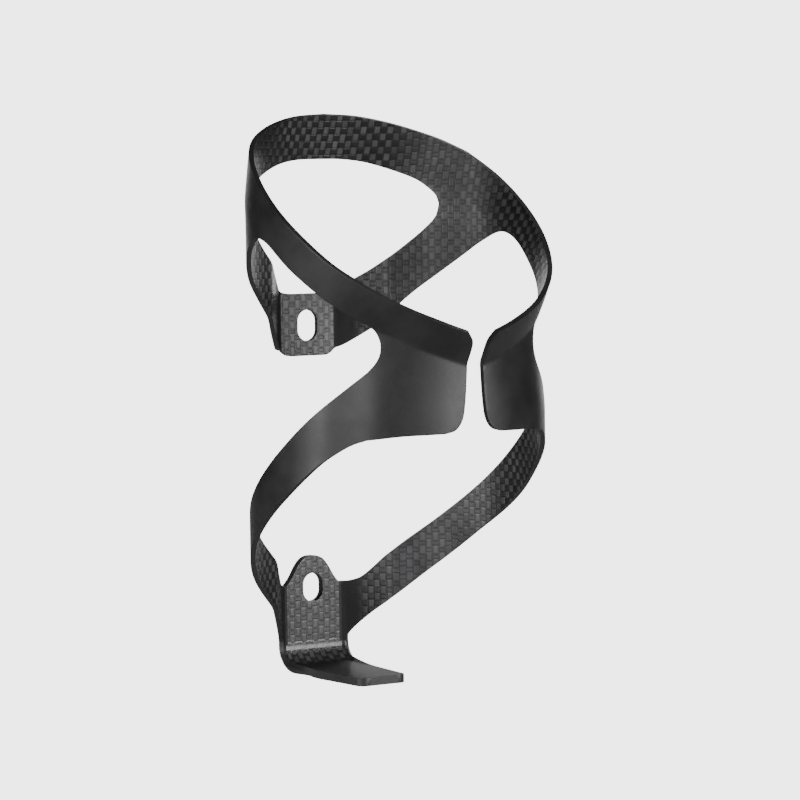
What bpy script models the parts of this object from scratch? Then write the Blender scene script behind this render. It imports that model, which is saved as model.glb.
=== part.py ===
"""Carbon water bottle cage, built as the laid-up sections of its one-piece shell.

Frame: Z up along the bottle, X to the right, +Y towards the bicycle tube.
The mounting plane (back faces of both mount plates) is y = 0 and the lower
bolt slot is centred 10 mm above the origin.  All lengths are in metres.

The thin ribbons are drawn as a flat pattern (angle round the bottle, height)
and wrapped on one mandrel: a cylinder with a trapezoidal boss at the back
that carries the mount plates.  Angle 0 is the back centre, 180 the front.
"""

import math

import bpy

MM = 0.001

# ---- driving dimensions (metres, degrees) ------------------------------
SLOT_SPACING = 64 * MM          # standard distance between cage bolts
HOOP_RADIUS = 33.5 * MM         # middle of the ribbon wall, lower half
HOOP_WIDENING = 0.4 * MM        # the upper hoop is this much larger
LIP_WIDENING = 0.3 * MM         # and grows this much more towards the top of the back
LOW_WIDENING = 0.5 * MM         # the foot of the cage is this much larger
AXIS_SETBACK = 41 * MM          # bottle axis to mounting plane
WALL = 1.2 * MM                 # ribbon laminate
UPPER_PLATE_WALL = 1.2 * MM
LOWER_PLATE_WALL = 2.0 * MM
PLATE_HALF_WIDTH = 7.4 * MM     # flat part between the boss bends
GAP = 0.3 * MM                  # clearance between neighbouring sections

LOWER_SLOT_Z = 10 * MM
UPPER_SLOT_Z = LOWER_SLOT_Z + SLOT_SPACING
SLOT_WIDTH = 5.5 * MM
UPPER_SLOT_LENGTH = 7.6 * MM
LOWER_SLOT_LENGTH = 7.0 * MM

BOSS_BEND_RADIUS = 1.5 * MM     # plate edge into the slanted boss wall
BOSS_BLEND_RADIUS = 8 * MM      # boss wall back into the hoop
BOSS_BLEND_ANGLE = 32.0         # where the blend meets the hoop

FLARE = 0.9 * MM                # outward flare where each lower arm meets its wing

SEAM_ANGLE = 62.0               # flex line, band and strut ends
HINGE_SETBACK = 26 * MM         # flex axis behind which the arms are fixed
HINGE_OFFSET = 30 * MM
HINGE_Z = 60 * MM

PLATE_FOOT_Z = -3.8 * MM        # lower plate ends and the shelf bend begins
SHELF_TOP_Z = -8.2 * MM
SHELF_FRONT_Y = -34.2 * MM
SHELF_CORNER = 1.8 * MM
FLANGE_START = 6 * MM           # reach where the turned-up edges begin to flatten
FLANGE_END = 18 * MM            # reach where the turned-up edges have died out
FLANGE_TAPER = 1.8 * MM         # width the turned-up edges lose on the way

# ---- flat pattern: (angle in degrees, height in millimetres) -----------
TOP_EDGE = [(0, 125), (15, 124.4), (30, 122.5), (45, 119.7), (60, 115.9), (75, 110.1), (90, 103.5),
            (105, 96.9), (120, 90.4), (135, 85.2), (150, 80.7), (165, 77.1), (178, 74.5)]
HOLE_TIP = (51.5, 103.2)
HOLE_TOP = [(0, 114.5), (10, 114.4), (20, 113.6), (30, 111.9), (40, 109.7), (45, 108), (50, 105.4), HOLE_TIP]
HOLE_LOW = [(4.5, 82.3), (10.2, 83.8), (21.6, 87.2), (30, 90.3), (40, 94.7), (45, 97.1), (50, 100.1),
            HOLE_TIP]
STRUT_LOW = [(4.5, 68.0), (10.2, 69.3), (21.6, 73.0), (27, 75.3), (40, 81.8), (55, 88.2), (62, 91)]
ARM_LOW = [(62, 91), (70, 94), (80, 96.4), (90, 95.4), (105, 89.2), (120, 83.1), (130, 79.6), (137, 77.4)]
NOTCH = [(137, 66.3), (140, 68.2), (141.8, 70), (142.4, 72), (142, 73.7), (140.2, 75.9), (137, 77.4)]
LOWER_TOP = [(4.5, 10.8), (10.2, 11.0), (16, 12.1), (21.6, 14.6), (30, 18.8), (50, 27.2), (62, 32.4),
             (70, 36.0), (90, 45.1), (110, 54.1), (130, 63.1), (137, 66.3)]
LOWER_LOW = [(9.3, -2.4), (10.8, -1.3), (13, -0.1), (16, 1.4), (21.6, 3.9), (30, 7.3), (50, 16.1),
             (62, 21.5), (70, 25.0), (90, 33.1), (110, 42.0), (120, 46.3), (130, 49.7), (137, 51.1),
             (150, 51.9), (160, 52.1), (165, 52.2)]
WING_FRONT = [(167, 52.2), (171.3, 53.0), (174.2, 55.3), (175.4, 59), (176.2, 65), (176.5, 70),
              (176.1, 73.2), (173.6, 75.3)]
LEAN_WIDTH = [(0, 10.5), (60, 11), (90, 8.6), (120, 8), (150, 7), (180, 7)]
LEAN = [(0, 4.2), (30, 3.4), (60, 2.6), (90, 3.6), (120, 4.6), (150, 4.2), (180, 4.0)]
SHELF_WIDTHS = [(6, 9.5), (10, 8.6), (14, 8.0), (20, 7.4), (34, 6.4)]   # (reach, half width)

DEGREE = math.radians(1) * HOOP_RADIUS / MM       # millimetres of ribbon per degree

# ranges over which a shape eases in: heights in millimetres, angles in degrees
HOOP_RISE = (74, 82)                              # hoop widening comes in
LIP_RISE = (96, 116)                              # lip widening comes in
LOW_FALL = (34, 46)                               # low widening dies out
BOSS_RELEASE = (BOSS_BLEND_ANGLE, BOSS_BLEND_ANGLE + 20)   # widening comes in past the boss
FLARE_FALL = (55, 68)                             # flare dies out upwards
FLARE_RISE = (98, 122)                            # flare comes in along the arm
FLARE_END = (135, 180)                            # and dies out along the wing

WING_TOP_END = 170                                # last top-edge point the wing uses before its front
POINT_SPACING = 0.6                               # degrees kept clear beside a trimmed end
NEAREST_NOTCH = 3                                 # degrees the wing's edge points stay away from its seam
CORNER_TURN = math.radians(86)                    # the shelf's corners stop just short of square
TIP_RELIEF = 0.2                                  # extra millimetres of gap at the hole's pointed end
ARM_END_ANGLE = 137.0                             # where both arms of a side meet their wing

# plate outlines in millimetres: right half, (x, z)
UPPER_PLATE_BOTTOM = [(0, 66.6), (2, 66.6), (4.9, 66.62), (6.3, 67.1), (7.25, 68.3)]
UPPER_PLATE_TOP = 81.75
PLATE_DOME = [(6.6, 11.7), (5.6, 13.1), (4.4, 15.1), (3.0, 16.8), (1.5, 17.6), (0, 17.75)]
PLATE_SHOULDER = 10.75                            # height where the dome begins


def clear_scene():
    for scene_object in list(bpy.data.objects):
        bpy.data.objects.remove(scene_object, do_unlink=True)


def make_collection(name):
    collection = bpy.data.collections.new(name)
    bpy.context.scene.collection.children.link(collection)
    return collection


def make_material(name, colour, roughness, metallic=0.0):
    material = bpy.data.materials.new(name)
    material.use_nodes = True
    shader = material.node_tree.nodes["Principled BSDF"]
    shader.inputs["Base Color"].default_value = (*colour, 1.0)
    shader.inputs["Roughness"].default_value = roughness
    shader.inputs["Metallic"].default_value = metallic
    material.diffuse_color = (*colour, 1.0)
    return material


def ease(t):
    t = min(1.0, max(0.0, t))
    return t * t * (3 - 2 * t)


def ramp(value, ends):
    """0 up to the first end, 1 from the second, smooth between."""
    return ease((value - ends[0]) / (ends[1] - ends[0]))


def curve_value(points, angle):
    """Height on a pattern edge at an angle: smooth cubic through its points."""
    if angle <= points[0][0]:
        return points[0][1]
    for i in range(len(points) - 1):
        if angle <= points[i + 1][0]:
            break
    a0, z0 = points[i]
    a1, z1 = points[i + 1]
    before = points[i - 1] if i > 0 else (2 * a0 - a1, 2 * z0 - z1)
    after = points[i + 2] if i + 2 < len(points) else (2 * a1 - a0, 2 * z1 - z0)
    slope0 = (z1 - before[1]) / (a1 - before[0])
    slope1 = (after[1] - z0) / (after[0] - a0)
    t = min(1.0, (angle - a0) / (a1 - a0))
    h = a1 - a0
    return ((2 * t ** 3 - 3 * t ** 2 + 1) * z0 + (t ** 3 - 2 * t ** 2 + t) * h * slope0
            + (3 * t ** 2 - 2 * t ** 3) * z1 + (t ** 3 - t ** 2) * h * slope1)


def resample(points, count, crowding=1.0, degree=DEGREE):
    """Smooth curve through the points, split by length; crowding above 1 gathers points at the start."""
    fine = []
    for i in range(len(points) - 1):
        p1 = points[i]
        p2 = points[i + 1]
        p0 = points[i - 1] if i > 0 else (2 * p1[0] - p2[0], 2 * p1[1] - p2[1])
        p3 = points[i + 2] if i + 2 < len(points) else (2 * p2[0] - p1[0], 2 * p2[1] - p1[1])
        for k in range(12):
            t = k / 12
            fine.append(tuple(
                0.5 * (2 * b + (c - a) * t + (2 * a - 5 * b + 4 * c - d) * t ** 2
                       + (3 * b - a - 3 * c + d) * t ** 3)
                for a, b, c, d in zip(p0, p1, p2, p3)))
    fine.append(points[-1])
    lengths = [0.0]
    for p, n in zip(fine, fine[1:]):
        lengths.append(lengths[-1] + math.hypot((n[0] - p[0]) * degree, n[1] - p[1]))
    result = []
    j = 0
    for k in range(count + 1):
        goal = lengths[-1] * (k / count) ** crowding
        while j < len(fine) - 2 and lengths[j + 1] < goal:
            j += 1
        span = lengths[j + 1] - lengths[j]
        t = (goal - lengths[j]) / span if span > 0 else 0.0
        result.append((fine[j][0] + t * (fine[j + 1][0] - fine[j][0]),
                       fine[j][1] + t * (fine[j + 1][1] - fine[j][1])))
    return result


def boss_layout():
    """Slope and length of the straight boss wall between its two bends."""
    centre1 = (PLATE_HALF_WIDTH, AXIS_SETBACK - WALL / 2 - BOSS_BEND_RADIUS)
    turn = math.radians(BOSS_BLEND_ANGLE)
    reach = HOOP_RADIUS + BOSS_BLEND_RADIUS
    centre2 = (reach * math.sin(turn), reach * math.cos(turn))
    dx = centre2[0] - centre1[0]
    dy = centre2[1] - centre1[1]
    distance = math.hypot(dx, dy)
    radii = BOSS_BEND_RADIUS + BOSS_BLEND_RADIUS
    straight = math.sqrt(distance ** 2 - radii ** 2)
    slope = -math.atan2(dy, dx) + math.asin(radii / distance)
    return slope, straight


BOSS_SLOPE, BOSS_STRAIGHT = boss_layout()
BOSS_LENGTH = (BOSS_STRAIGHT + BOSS_BEND_RADIUS * BOSS_SLOPE
               + BOSS_BLEND_RADIUS * (BOSS_SLOPE - math.radians(BOSS_BLEND_ANGLE)))
PLATE_ANGLE = BOSS_BLEND_ANGLE - math.degrees(BOSS_LENGTH / HOOP_RADIUS)   # pattern angle of the plate's edge


def boss_point(angle):
    """Plan position on the boss side, walking back from the hoop towards the plate."""
    slope = BOSS_SLOPE
    blend = math.radians(BOSS_BLEND_ANGLE)
    back = math.radians(BOSS_BLEND_ANGLE - angle) * HOOP_RADIUS
    blend_length = BOSS_BLEND_RADIUS * (slope - blend)
    reach = HOOP_RADIUS + BOSS_BLEND_RADIUS
    centre = (reach * math.sin(blend), reach * math.cos(blend))
    turned = blend + min(back, blend_length) / BOSS_BLEND_RADIUS
    x = centre[0] - BOSS_BLEND_RADIUS * math.sin(turned)
    y = centre[1] - BOSS_BLEND_RADIUS * math.cos(turned)
    back -= blend_length
    if back > 0:
        step = min(back, BOSS_STRAIGHT)
        x -= step * math.cos(slope)
        y += step * math.sin(slope)
        back -= BOSS_STRAIGHT
    if back > 0:
        left = max(0.0, slope - back / BOSS_BEND_RADIUS)
        x = PLATE_HALF_WIDTH + BOSS_BEND_RADIUS * math.sin(left)
        y = AXIS_SETBACK - WALL / 2 - BOSS_BEND_RADIUS * (1 - math.cos(left))
    return x, y


def wrap(angle, height, side, boss):
    """Pattern point (degrees, millimetres) to a point on the shell's middle surface."""
    z = height * MM
    below_top = curve_value(TOP_EDGE, angle) - height
    lean = MM * curve_value(LEAN, angle) * max(0.0, 1 - below_top / curve_value(LEAN_WIDTH, angle))
    flare = FLARE * (1 - ramp(height, FLARE_FALL)) * ramp(angle, FLARE_RISE) * (1 - ramp(angle, FLARE_END))
    widening = HOOP_WIDENING * ramp(height, HOOP_RISE) + LIP_WIDENING * ramp(height, LIP_RISE)
    widening += LOW_WIDENING * (1 - ramp(height, LOW_FALL))
    if boss:
        widening *= ramp(angle, BOSS_RELEASE)
    radius = HOOP_RADIUS + flare + widening
    if boss and angle < BOSS_BLEND_ANGLE:
        x, y = boss_point(angle)
    else:
        x = radius * math.sin(math.radians(angle))
        y = radius * math.cos(math.radians(angle))
    return side * x, y - AXIS_SETBACK - lean, z


def coons(bottom, top, left, right):
    """Grid of pattern points filling four edges."""
    columns = len(bottom) - 1
    rows = len(left) - 1
    grid = []
    for j in range(rows + 1):
        v = j / rows
        line = []
        for i in range(columns + 1):
            u = i / columns
            point = []
            for k in range(2):
                ruled = (1 - u) * left[j][k] + u * right[j][k] + (1 - v) * bottom[i][k] + v * top[i][k]
                corners = ((1 - u) * (1 - v) * left[0][k] + u * (1 - v) * right[0][k]
                           + (1 - u) * v * left[-1][k] + u * v * right[-1][k])
                point.append(ruled - corners)
            line.append(point)
        grid.append(line)
    return grid


def grid_mesh(name, points, collection, material, thickness, outward):
    """Open grid of points thickened evenly to a closed shell."""
    rows = len(points)
    columns = len(points[0])
    vertices = [p for line in points for p in line]
    faces = []
    for j in range(rows - 1):
        for i in range(columns - 1):
            a = j * columns + i
            face = (a, a + 1, a + columns + 1, a + columns)
            faces.append(face if outward else face[::-1])
    mesh = bpy.data.meshes.new(name)
    mesh.from_pydata(vertices, [], faces)
    mesh.materials.append(material)
    shell = bpy.data.objects.new(name, mesh)
    collection.objects.link(shell)
    solid = shell.modifiers.new("laminate", "SOLIDIFY")
    solid.thickness = thickness
    solid.offset = 0
    solid.use_even_offset = True
    return shell


def ribbon(name, side, edges, cells, collection, material, boss=False):
    """One laid-up ribbon from its four pattern edges."""
    bottom, top, left, right = edges
    columns, rows = cells
    crowding = 1.5 if boss else 1.0
    pattern = coons(resample(bottom, columns, crowding), resample(top, columns, crowding),
                    resample(left, rows), resample(right, rows))
    points = [[wrap(angle, height, side, boss) for angle, height in line] for line in pattern]
    return grid_mesh(name, points, collection, material, WALL, side < 0)


def trimmed(points, start, end):
    """Part of an edge between two angles, cut back by half a gap at each end."""
    half = math.degrees(GAP / 2 / HOOP_RADIUS)
    first = start + half
    last = end - half
    middle = [p for p in points if first + POINT_SPACING < p[0] < last - POINT_SPACING]
    return [(first, curve_value(points, first))] + middle + [(last, curve_value(points, last))]


def back_band(collection, material):
    """Top band across the back, one grid mirrored in the pattern."""
    half = math.degrees(GAP / 2 / HOOP_RADIUS)
    end = SEAM_ANGLE - half
    gap = GAP / 2 / MM
    tip_angle, tip_height = HOLE_TIP
    low = HOLE_TOP[1:-1] + [(tip_angle, tip_height + gap + TIP_RELIEF), (end, tip_height + gap)]
    low = [(-a, z) for a, z in low[::-1]] + [HOLE_TOP[0]] + low
    high = trimmed(TOP_EDGE, 0, SEAM_ANGLE)[1:]
    high = [(-a, z) for a, z in high[::-1]] + [TOP_EDGE[0]] + high
    right = [low[-1], high[-1]]
    left = [low[0], high[0]]
    pattern = coons(resample(low, 44), resample(high, 44), resample(left, 4), resample(right, 4))
    points = [[wrap(abs(a), z, math.copysign(1, a), False) for a, z in line] for line in pattern]
    return grid_mesh("back_band", points, collection, material, WALL, False)


def upper_strut(name, side, collection, material):
    gap = GAP / 2 / MM
    low = trimmed(STRUT_LOW, PLATE_ANGLE, SEAM_ANGLE)
    tip_angle, tip_height = HOLE_TIP
    high = trimmed(HOLE_LOW[:-1], PLATE_ANGLE, tip_angle)[:-1]
    high += [(tip_angle, tip_height - gap - TIP_RELIEF), (low[-1][0], tip_height - gap)]
    edges = (low, high, [low[0], high[0]], [low[-1], high[-1]])
    return ribbon(name, side, edges, (28, 5), collection, material, boss=True)


def side_arm(name, side, collection, material):
    low = trimmed(ARM_LOW, SEAM_ANGLE, ARM_END_ANGLE)
    high = trimmed(TOP_EDGE, SEAM_ANGLE, ARM_END_ANGLE)
    edges = (low, high, [low[0], high[0]], [low[-1], high[-1]])
    return ribbon(name, side, edges, (26, 5), collection, material)


def lower_strut(name, side, collection, material):
    foot = (PLATE_FOOT_Z + GAP / 2) / MM
    knee_angle = LOWER_LOW[0][0]
    start = PLATE_ANGLE + math.degrees(GAP / 2 / HOOP_RADIUS)
    low = [(start, foot), (knee_angle - POINT_SPACING, foot)] + trimmed(LOWER_LOW, knee_angle, SEAM_ANGLE)
    high = trimmed(LOWER_TOP, PLATE_ANGLE, SEAM_ANGLE)
    edges = (low, high, [low[0], high[0]], [low[-1], high[-1]])
    return ribbon(name, side, edges, (24, 4), collection, material, boss=True)


def lower_arm(name, side, collection, material):
    low = trimmed(LOWER_LOW, SEAM_ANGLE, ARM_END_ANGLE)
    high = trimmed(LOWER_TOP, SEAM_ANGLE, ARM_END_ANGLE)
    edges = (low, high, [low[0], high[0]], [low[-1], high[-1]])
    return ribbon(name, side, edges, (22, 4), collection, material)


def grip_wing(name, side, collection, material):
    half = math.degrees(GAP / 2 / HOOP_RADIUS)
    start = ARM_END_ANGLE + half
    low = [(start, curve_value(LOWER_LOW, start))]
    low += [p for p in LOWER_LOW[:-1] if p[0] > start + NEAREST_NOTCH] + [WING_FRONT[0]]
    high = [(start, curve_value(TOP_EDGE, start))]
    high += [p for p in TOP_EDGE if start + NEAREST_NOTCH < p[0] < WING_TOP_END] + [WING_FRONT[-1]]
    notch = [(start, NOTCH[0][1])] + NOTCH[1:-1] + [(start, NOTCH[-1][1])]
    left = [low[0], (start, (low[0][1] + notch[0][1]) / 2)] + notch + [high[0]]
    edges = (low, high, left, WING_FRONT)
    return ribbon(name, side, edges, (14, 14), collection, material)


def mirrored_outline(right_half):
    """Closed outline in metres from its right half, listed upwards from bottom centre to top centre."""
    left_half = [(-x, z) for x, z in right_half[::-1] if x > 0]
    return [(x * MM, z * MM) for x, z in right_half + left_half]


def slot_outline(centre_z, slot_length, segments=8):
    """Round-ended bolt slot."""
    radius = SLOT_WIDTH / 2
    straight = (slot_length - SLOT_WIDTH) / 2
    outline = []
    for end in (1, -1):
        for k in range(segments + 1):
            angle = math.pi * k / segments
            rise = straight + radius * math.sin(angle)
            outline.append((end * radius * math.cos(angle), centre_z + end * rise))
    return outline


def flat_plate(name, outlines, wall, collection, material):
    """Upright plate from its outline and holes, back face on the mounting plane."""
    curve = bpy.data.curves.new(name, "CURVE")
    curve.dimensions = "2D"
    curve.fill_mode = "BOTH"
    curve.extrude = wall / 2
    for outline in outlines:
        spline = curve.splines.new("POLY")
        spline.points.add(len(outline) - 1)
        for point, (x, z) in zip(spline.points, outline):
            point.co = (x, z, 0, 1)
        spline.use_cyclic_u = True
    drawn = bpy.data.objects.new(name + "_outline", curve)
    bpy.context.scene.collection.objects.link(drawn)
    bpy.context.view_layer.update()
    mesh = bpy.data.meshes.new_from_object(drawn)
    mesh.name = name
    bpy.data.objects.remove(drawn, do_unlink=True)
    for vertex in mesh.vertices:
        x, z, depth = vertex.co
        vertex.co = (x, -wall / 2 - depth, z)
    mesh.materials.clear()
    mesh.materials.append(material)
    plate = bpy.data.objects.new(name, mesh)
    collection.objects.link(plate)
    weld = plate.modifiers.new("weld", "WELD")
    weld.merge_threshold = 0.00001
    return plate


def upper_mount_plate(collection, material):
    half = (PLATE_HALF_WIDTH - GAP / 2) / MM
    bottom = resample(UPPER_PLATE_BOTTOM, 10, degree=1)
    outline = mirrored_outline(bottom + [(half, UPPER_PLATE_TOP), (0, UPPER_PLATE_TOP)])
    outlines = [outline, slot_outline(UPPER_SLOT_Z, UPPER_SLOT_LENGTH)]
    return flat_plate("upper_mount_plate", outlines, UPPER_PLATE_WALL, collection, material)


def lower_mount_plate(collection, material):
    half = (PLATE_HALF_WIDTH - GAP / 2) / MM
    low = (PLATE_FOOT_Z + GAP / 2) / MM
    dome = resample([(half, PLATE_SHOULDER)] + PLATE_DOME, 14, degree=1)
    outline = mirrored_outline([(0, low), (half, low)] + dome)
    outlines = [outline, slot_outline(LOWER_SLOT_Z, LOWER_SLOT_LENGTH)]
    return flat_plate("lower_mount_plate", outlines, LOWER_PLATE_WALL, collection, material)


def shelf_stations():
    """Side view of the shelf's middle: (y, z, inward direction, whether still in the bend)."""
    start_z = PLATE_FOOT_Z - GAP / 2
    radius = start_z - SHELF_TOP_Z + LOWER_PLATE_WALL / 2
    centre_y = -LOWER_PLATE_WALL / 2 - radius
    stations = []
    bends = 7
    for k in range(bends + 1):
        turn = math.pi / 2 * k / bends
        stations.append((centre_y + radius * math.cos(turn), start_z - radius * math.sin(turn),
                         (-math.cos(turn), math.sin(turn)), k < bends))
    flat_z = SHELF_TOP_Z - LOWER_PLATE_WALL / 2
    corner_start = SHELF_FRONT_Y + SHELF_CORNER
    flats = 9
    for k in range(1, flats + 1):
        stations.append((centre_y + (corner_start - centre_y) * k / flats, flat_z, (0.0, 1.0), False))
    corner_steps = 4
    for k in range(1, corner_steps + 1):
        turn = CORNER_TURN * k / corner_steps
        stations.append((corner_start - SHELF_CORNER * math.sin(turn), flat_z, (0.0, 1.0), False))
    return stations


def flange_line(y, in_bend):
    """Turned-up edge at one station: (turn, strip length, flat half width)."""
    length = math.radians(LOWER_LOW[0][0] - PLATE_ANGLE) * HOOP_RADIUS
    if in_bend:
        return BOSS_SLOPE, length, PLATE_HALF_WIDTH
    faded = ramp(-y, (FLANGE_START, FLANGE_END))
    turn = BOSS_SLOPE * (1 - faded)
    length -= FLANGE_TAPER * faded
    spread = BOSS_BEND_RADIUS * math.sin(turn) + max(0.0, length - BOSS_BEND_RADIUS * turn) * math.cos(turn)
    near_front = max(0.0, SHELF_FRONT_Y + SHELF_CORNER - y) / SHELF_CORNER
    half = curve_value(SHELF_WIDTHS, -y / MM) * MM - SHELF_CORNER * (1 - math.sqrt(1 - near_front ** 2))
    return turn, length, half - spread


def bottom_shelf(collection, material):
    """Plate foot bent forward into the tongue the bottle stands on, its edges turned up beside the bend."""
    strip_columns = 4
    flat_columns = 8
    points = []
    for y, z, inward, in_bend in shelf_stations():
        turn, length, flat = flange_line(y, in_bend)
        strip = []
        for k in range(1, strip_columns + 1):
            walked = length * k / strip_columns
            turned = min(turn, walked / BOSS_BEND_RADIUS)
            beyond = walked - turned * BOSS_BEND_RADIUS
            strip.append((flat + BOSS_BEND_RADIUS * math.sin(turned) + beyond * math.cos(turn),
                          BOSS_BEND_RADIUS * (1 - math.cos(turned)) + beyond * math.sin(turn)))
        line = [(-x, rise) for x, rise in strip[::-1]]
        line += [(flat * (2 * i / flat_columns - 1), 0.0) for i in range(flat_columns + 1)]
        line += strip
        points.append([(x, y + rise * inward[0], z + rise * inward[1]) for x, rise in line])
    return grid_mesh("bottom_shelf", points, collection, material, LOWER_PLATE_WALL, True)


def build():
    clear_scene()
    collection = make_collection("water_bottle_cage")
    woven = make_material("woven_carbon", (0.045, 0.045, 0.048), 0.42)
    satin = make_material("satin_carbon", (0.022, 0.022, 0.024), 0.38)
    upper_mount_plate(collection, woven)
    lower_mount_plate(collection, woven)
    bottom_shelf(collection, satin)
    back_band(collection, woven)
    for word, side in (("left", -1), ("right", 1)):
        upper_strut(word + "_upper_strut", side, collection, woven)
        lower_strut(word + "_lower_strut", side, collection, woven)
        hinge = (side * HINGE_OFFSET, -HINGE_SETBACK, HINGE_Z)
        moving = [side_arm(word + "_side_arm", side, collection, satin),
                  lower_arm(word + "_lower_arm", side, collection, satin),
                  grip_wing(word + "_grip_wing", side, collection, satin)]
        for piece in moving:
            for vertex in piece.data.vertices:
                vertex.co = [vertex.co[k] - hinge[k] for k in range(3)]
            piece.location = hinge


build()
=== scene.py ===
"""Visual model of the carbon bottle cage: one continuous laminated shell, cut into its named pieces.

The shell's middle surface is drawn as a flat pattern (angle round the bottle, height) and wrapped on
a cylinder with a boss at the back.  It is thickened and given rounded rims in one go, so the pieces
meet without a visible line.  The weave on the inside faces is procedural and follows the pattern.
"""

import math

import bmesh
import bpy
import numpy as np
from mathutils import Matrix, Vector


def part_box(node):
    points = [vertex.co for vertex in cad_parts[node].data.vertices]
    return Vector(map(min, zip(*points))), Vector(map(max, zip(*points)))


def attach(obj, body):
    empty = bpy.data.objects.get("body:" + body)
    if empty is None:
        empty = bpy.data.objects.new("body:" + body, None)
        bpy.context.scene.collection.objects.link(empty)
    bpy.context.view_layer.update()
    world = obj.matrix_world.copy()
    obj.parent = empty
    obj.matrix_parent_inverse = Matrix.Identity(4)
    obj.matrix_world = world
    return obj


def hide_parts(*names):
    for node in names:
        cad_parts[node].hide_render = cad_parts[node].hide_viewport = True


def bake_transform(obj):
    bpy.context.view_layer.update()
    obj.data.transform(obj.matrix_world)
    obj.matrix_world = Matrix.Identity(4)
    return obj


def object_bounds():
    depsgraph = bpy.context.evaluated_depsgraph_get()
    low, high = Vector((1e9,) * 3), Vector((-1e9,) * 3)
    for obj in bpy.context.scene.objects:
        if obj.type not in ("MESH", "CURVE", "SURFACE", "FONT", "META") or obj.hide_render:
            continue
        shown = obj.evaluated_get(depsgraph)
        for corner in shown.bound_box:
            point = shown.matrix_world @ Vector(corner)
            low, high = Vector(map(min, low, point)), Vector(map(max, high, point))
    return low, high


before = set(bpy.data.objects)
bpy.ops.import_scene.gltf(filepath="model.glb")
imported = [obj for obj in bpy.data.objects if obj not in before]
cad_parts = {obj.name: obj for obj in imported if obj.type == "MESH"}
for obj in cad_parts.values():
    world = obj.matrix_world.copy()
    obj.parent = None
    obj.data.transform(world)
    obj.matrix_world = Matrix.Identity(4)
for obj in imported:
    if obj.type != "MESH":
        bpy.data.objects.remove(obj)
size_at_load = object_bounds()

MM = 0.001

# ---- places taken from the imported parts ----
PLATE_LOW, PLATE_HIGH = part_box("lower_mount_plate")
UPPER_LOW, UPPER_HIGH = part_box("upper_mount_plate")
SHELF_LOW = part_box("bottom_shelf")[0]

GAP = 0.3 * MM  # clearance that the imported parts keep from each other
PLATE_HALF_WIDTH = PLATE_HIGH[0] + GAP / 2
PLATE_FOOT_Z = PLATE_LOW[2] - GAP / 2
LOWER_PLATE_WALL = PLATE_HIGH[1] - PLATE_LOW[1]
WALL = UPPER_HIGH[1] - UPPER_LOW[1]
SHELF_TOP_Z = SHELF_LOW[2] + LOWER_PLATE_WALL
SHELF_FRONT_Y = SHELF_LOW[1]

# ---- driving dimensions (metres, degrees) ----
HOOP_RADIUS = 33.5 * MM       # middle of the ribbon wall
HOOP_WIDENING = 0.4 * MM      # the upper hoop is this much larger
LIP_WIDENING = 0.3 * MM       # and grows this much more towards the top of the back
LOW_WIDENING = 0.5 * MM       # the foot of the cage is this much larger
AXIS_SETBACK = 41 * MM        # bottle axis to mounting plane
BOSS_BEND_RADIUS = 1.5 * MM   # plate edge into the slanted boss wall
BOSS_BLEND_RADIUS = 8 * MM    # boss wall back into the hoop
BOSS_BLEND_ANGLE = 32.0       # where the blend meets the hoop
FLARE = 0.9 * MM              # outward flare where each lower arm meets its wing
SEAM_ANGLE = 62.0             # where the struts and the band end and the arms begin
ARM_END_ANGLE = 137.0         # where both arms of a side meet their wing
SLOT_SPACING = 64 * MM
LOWER_SLOT_Z = 10 * MM
UPPER_SLOT_Z = LOWER_SLOT_Z + SLOT_SPACING
SLOT_WIDTH = 5.5 * MM
UPPER_SLOT_LENGTH = 7.6 * MM
LOWER_SLOT_LENGTH = 7.0 * MM
SHELF_CORNER = 1.8 * MM       # rounding of the shelf's front corners
CORNER_TURN = math.radians(86)  # the corners stop just short of square
FLANGE_START = 6 * MM         # reach where the turned-up edges begin to flatten
FLANGE_END = 18 * MM          # reach where the turned-up edges have died out
FLANGE_TAPER = 1.8 * MM       # width the turned-up edges lose on the way
WALL_EASE = 5                 # degrees over which the plate's wall thins to the ribbon's
RIM_ROUNDING = 0.32 * MM
RIM_ANGLE = math.radians(55)  # only edges sharper than this are rounded
RIM_STEPS = 3
CREASE_SOFTNESS = 0.09        # share of the lean's width that its crease is rounded over
DEGREE = math.radians(1) * HOOP_RADIUS / MM  # millimetres of ribbon per degree

# ---- flat pattern: (angle in degrees, height in millimetres) ----
TOP_EDGE = [(0, 125), (15, 124.4), (30, 122.5), (45, 119.7), (60, 115.9), (75, 110.1), (90, 103.5),
            (105, 96.9), (120, 90.4), (135, 85.2), (150, 80.7), (165, 77.1), (178, 74.5)]
HOLE_TIP = (51.5, 103.2)
HOLE_TOP = [(0, 114.5), (10, 114.4), (20, 113.6), (30, 111.9), (40, 109.7), (45, 108), (50, 105.4), HOLE_TIP]
HOLE_LOW = [(4.5, 82.3), (10.2, 83.8), (21.6, 87.2), (30, 90.3), (40, 94.7), (45, 97.1), (50, 100.1),
            HOLE_TIP]
STRUT_LOW = [(4.5, 68.0), (10.2, 69.3), (21.6, 73.0), (27, 75.3), (40, 81.8), (55, 88.2), (62, 91)]
ARM_LOW = [(62, 91), (70, 94), (80, 96.4), (90, 95.4), (105, 89.2), (120, 83.1), (130, 79.6), (137, 77.4)]
NOTCH = [(137, 66.3), (140, 68.2), (141.8, 70), (142.4, 72), (142, 73.7), (140.2, 75.9), (137, 77.4)]
LOWER_TOP = [(4.5, 10.8), (10.2, 11.0), (16, 12.1), (21.6, 14.6), (30, 18.8), (50, 27.2), (62, 32.4),
             (70, 36.0), (90, 45.1), (110, 54.1), (130, 63.1), (137, 66.3)]
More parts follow.
